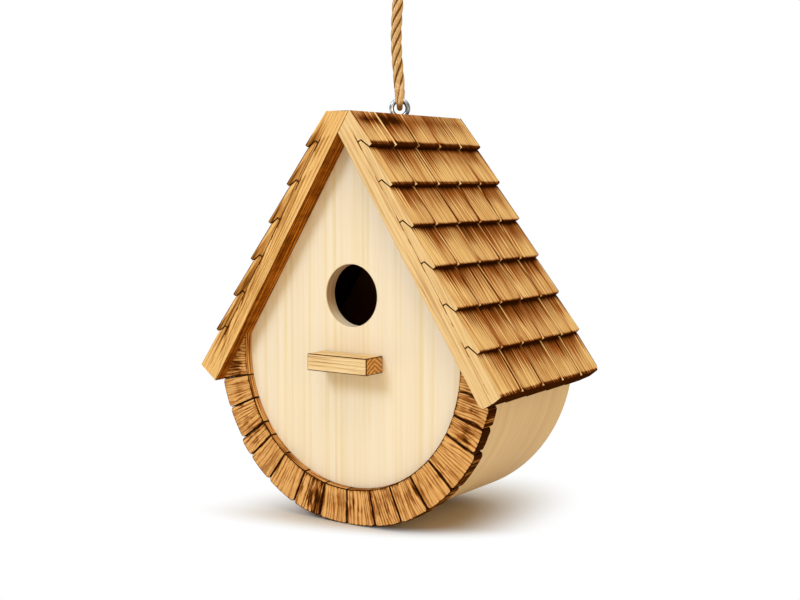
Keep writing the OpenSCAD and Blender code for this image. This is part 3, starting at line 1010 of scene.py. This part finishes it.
def block_reader(i, first, last):
    """The grain of block i points outward. Its face is darkest halfway out and at its edges."""
    heat_and_shade, seed = block_heat[i - 1], i * block_seed

    def read(place, face, vert):
        radius, a = bend_place(place)
        outward = face.normal.dot(away(a))
        t = (radius - rim_in) / (rim_r + swell(first, last, a) - rim_in)
        if abs(face.normal.y) > 0.7:
            burn_and_shade = heat_and_shade + 0.5 * math.exp(-((t - 0.45) / 0.28) ** 2) - 0.25
            # Painted shadow of the roof, with scorch: blocks 1, 14 and 15 darken outward, and block
            # 1's inner end is lighter.
            burn_and_shade += singed_and_shaded_outside.get(i, 0) * eased((t - 0.3) / 0.4)
            if i == 1:
                burn_and_shade -= 0.5 * (1 - eased(t / 0.3))
            if i in flame_kissed:
                across = (a - first) / (last - first) - 0.5
                burn_and_shade += 0.6 * eased(0.5 + flame_kissed[i] * 2 * across)
            edge = min((a - first) * radius, (last - a) * radius, radius - rim_in)
            if edge < 0.4 * outline_w or t > 0.97:
                burn_and_shade = 1.5
            elif edge < 1.2 * outline_w:
                burn_and_shade += 0.35
            return a * grain_r, radius * 3, seed, burn_and_shade
        if outward < -0.6:
            return place.y, a * radius, seed, 0.4
        if outward > 0.6:
            return a * radius, place.y, seed, 1.5 if math.degrees(a) > 60 else 1.1
        return radius, place.y, seed, 0.9
    return read


band = outline_w / (rim_r - rim_in)
for i in range(1, len(block_cuts)):
    first, last = (math.radians(a) for a in block_cuts[i - 1:i + 1])
    count = max(4, round((last - first) * rim_r / block_step))
    turns = evenly(first, last, count)
    turns[1:1] = [first + outline_w / rim_r]
    turns[-1:-1] = [last - outline_w / rim_r]
    rings = []
    for a in turns:
        wave = block_wave * noise.noise(Vector((a * 40, i * 5.3, 2)))
        nick = block_nick * (1 - eased(min(a - first, last - a) * rim_r / nick_w))
        radii = [rim_in + (rim_r + swell(first, last, a) + min(wave, 0) - nick - rim_in) * t
                 for t in (0, band, 0.12, 0.3, 0.5, 0.7, 0.88, 1 - band, 1)]
        inset = block_gap / 2 * ((a == first) - (a == last))
        centre = Vector((0, 0, nest_z)) + inset * Vector((math.cos(a), 0, math.sin(a)))
        rings.append([centre + r * away(a) + Vector((0, rim_front, 0)) for r in radii]
                     + [centre + r * away(a) + Vector((0, rim_back, 0)) for r in radii[::-1]])
    bm = loft(rings)
    under_roof(bm)
    block = new_piece(f"block_{i}", bm, [toasted_block, sooty_edge], block_reader(i, first, last))
    soften(block, 0.4 * mm)
    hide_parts(f"rim_block_{i}")
    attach(block, "house")

# ------------------------------------------------------------------ perch
# A short length of pine strip with its grain running along it, screwed on
# from inside the box.
perch_low, perch_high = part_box("perch")
perch_pine = scorched_wood("perch pine", "#ECD09F", "#DDB57A", "#B07A3E", "#4A2A0C",
                           fine=1.1, bold=0.8, licks=0.6)
# The year rings show as shallow chevrons on the sawn ends.
end_pine = Finish("sawn end of pine", roughness=0.7, shine=0.15)
end_grain = end_pine.mark("grain")
end_parts = end_pine.add("SeparateXYZ", 0, {0: end_grain})
fold_line = end_pine.times(end_pine.sum(end_parts, 0, "ABSOLUTE"), 270)
rise = end_pine.times(end_parts.node.outputs[1], 430)
arcs = end_pine.sum(end_pine.sum(fold_line, rise), 0.5, "PINGPONG")
speck = end_pine.fibres(end_grain, (700, 900, 1))
arcs = end_pine.sum(arcs, end_pine.swing(speck, 0.8))
end_pine.colour(end_pine.ramp(arcs, (0.1, "#DBA45E"), (0.42, "#945C26")))
perch_steps = 24
side_steps = 4
corners = [(perch_low.y, perch_low.z), (perch_high.y, perch_low.z),
           (perch_high.y, perch_high.z), (perch_low.y, perch_high.z)]
rings = []
for x in evenly(perch_low.x, perch_high.x, perch_steps):
    section = []
    for (y0, z0), (y1, z1) in zip(corners, corners[1:] + corners[:1]):
        for n in range(side_steps):
            y, z = y0 + (y1 - y0) * n / side_steps, z0 + (z1 - z0) * n / side_steps
            wave = raised_grain * noise.noise(Vector((x * 60, y * 900, z * 900))) if n else 0
            section.append(Vector((x, y, z + wave * (y0 != y1))))
    rings.append(section)
bm = loft(rings)


def perch_reader(place, face, vert):
    """The grain runs along the perch, and its underside is scorched."""
    if abs(face.normal.x) > 0.7:
        return place.y - (perch_low.y + perch_high.y) / 2, place.z, 44, 0
    across = place.z if abs(face.normal.y) > 0.5 else place.y
    return across, place.x, 47, 0.95 if face.normal.z < -0.5 else -0.45


perch = new_piece("perch_block", bm, [perch_pine, end_pine, sooty_edge], perch_reader)
finish_faces(perch, 1, lambda face: abs(face.normal.x) > 0.7)
soften(perch, 0.45 * mm)
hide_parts("perch")
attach(perch, "house")
coat("perch_screw", zinc)

# --------------------------------------------------------- clean-out door
# A pear-shaped pine board that hangs on one round-headed screw and swings
# aside from the clean-out hole.
door_low, door_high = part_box("cleanout_door")
door_r = 24 * mm
ear_r = 8 * mm


def pear():
    """A round below and a small round at the pivot, joined by straight sides."""
    tilt = math.asin((door_r - ear_r) / pivot_rise)
    low = [(door_r * math.cos(a), cleanout_z + door_r * math.sin(a))
           for a in evenly(tilt, -math.pi - tilt, 60)]
    high = [(ear_r * math.cos(a), pivot_z + ear_r * math.sin(a))
            for a in evenly(math.pi - tilt, tilt, 30)]
    return low + high


bm = bmesh.new()
sawn_board(bm, pear(), [circle(0, pivot_z, pivot_hole_r, 24)], door_low.y, door_high.y)
door = new_piece("swing_door", bm, [bare_pine], panel_reader(seed=23, facing=1, inner_shade=0))
soften(door, 0.6 * mm)
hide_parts("cleanout_door")
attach(door, "door")
coat("door_screw", zinc)
coat("door_washer", zinc)

# -------------------------------------------------------- floor and light
# The birdhouse hangs just above a plain white floor, in soft daylight from
# the upper left. The floor shows the shadow under it, and seen straight on
# it is painted a darker tan near the birdhouse, which deepens and warms that
# shadow; round about it fades to pure white.
shadow_place = (0.017, -0.027, 0)
shadow_lean = 0.34
shadow_left, shadow_right = 102 * mm, 69 * mm
shadow_front, shadow_back = 36 * mm, 122 * mm
pure_white = (1, 1, 1, 1)


def looked_at(recipe):
    """1 for what is seen, straight on, mirrored or through something, and 0 for stray light."""
    seen = recipe.add("LightPath", "Is Camera Ray")
    for other in ("Is Glossy Ray", "Is Transmission Ray"):
        seen = recipe.sum(seen, recipe.add("LightPath", other), "MAXIMUM")
    return seen


def lopsided(value, before, after):
    """value over one length on its negative side and another on its positive side."""
    return white.sum(white.times(value, -1 / before), white.times(value, 1 / after), "MAXIMUM")


white = Finish("white floor", roughness=0.9)
floor_place = white.add("TexCoord", "Object")
around = white.add("VectorMath", inputs={0: floor_place, 1: shadow_place}, operation="SUBTRACT")
beside = white.add("SeparateXYZ", 0, {0: around})
behind = white.sum(beside.node.outputs[1], white.times(beside, shadow_lean), "SUBTRACT")
reach = white.add("CombineXYZ", inputs={0: lopsided(beside, shadow_left, shadow_right),
                                        1: lopsided(behind, shadow_front, shadow_back)})
fade = white.between(white.add("VectorMath", "Value", {0: reach}, operation="LENGTH"), 0.35, 1.07)
paper = white.ramp(white.fibres(floor_place, (60, 60, 60), 2), (0, "#F4EFE4"), (1, "#FBF7EE"))
seen = looked_at(white)
# Seen directly, the floor is painted a darker tan as shade; stray light sees the pale paper.
white.colour(white.mix(seen, paper, (0.6, 0.54, 0.46, 1)))
glow = white.add("Emission", inputs={"Color": pure_white, "Strength": 1})
floor_mix = white.add("MixShader", inputs={0: white.times(fade, seen),
                                           1: white.shader.outputs[0], 2: glow})
white.put(white.tree.nodes["Material Output"].inputs["Surface"], floor_mix)
floor_bm = bmesh.new()
bmesh.ops.create_grid(floor_bm, x_segments=8, y_segments=8, size=3)
floor_mesh = bpy.data.meshes.new("floor")
floor_bm.to_mesh(floor_mesh)
floor_bm.free()
floor_mesh.materials.append(white.material)
floor = bpy.data.objects.new("floor", floor_mesh)
floor.location.z = cad_box[0].z
bpy.context.scene.collection.objects.link(floor)

world = bpy.data.worlds.new("daylight")
world.use_nodes = True
bpy.context.scene.world = world
sky = Recipe(world.node_tree)
height = sky.add("SeparateXYZ", "Z", {0: sky.add("TexCoord", "Generated")})
daylight = sky.mix(height, (0.42, 0.29, 0.13, 1), (0.64, 0.54, 0.3, 1))
sky.put(sky.tree.nodes["Background"].inputs["Color"],
        sky.mix(looked_at(sky), daylight, pure_white))
house_mid = Vector((0, 0, -0.21))


def soft_lamp(name, place, size, power, colour):
    """A square lamp that shines on the birdhouse's middle."""
    lamp = bpy.data.objects.new(name, bpy.data.lights.new(name, "AREA"))
    lamp.data.size = size
    lamp.data.energy = power
    lamp.data.color = colour
    lamp.location = place
    lamp.rotation_euler = (house_mid - Vector(place)).to_track_quat("-Z", "Y").to_euler()
    bpy.context.scene.collection.objects.link(lamp)


soft_lamp("window", (-0.42, -1.3, 0.78), size=0.55, power=16.1, colour=(0.55, 0.71, 1))
soft_lamp("skylight", (0.24, -0.35, 1), size=0.8, power=5.6, colour=(1, 0.92, 0.7))
soft_lamp("side_window", (1.5, -0.7, 0.1), size=1, power=5.4, colour=(1, 0.86, 0.66))

bpy.context.scene.view_settings.view_transform = "Standard"
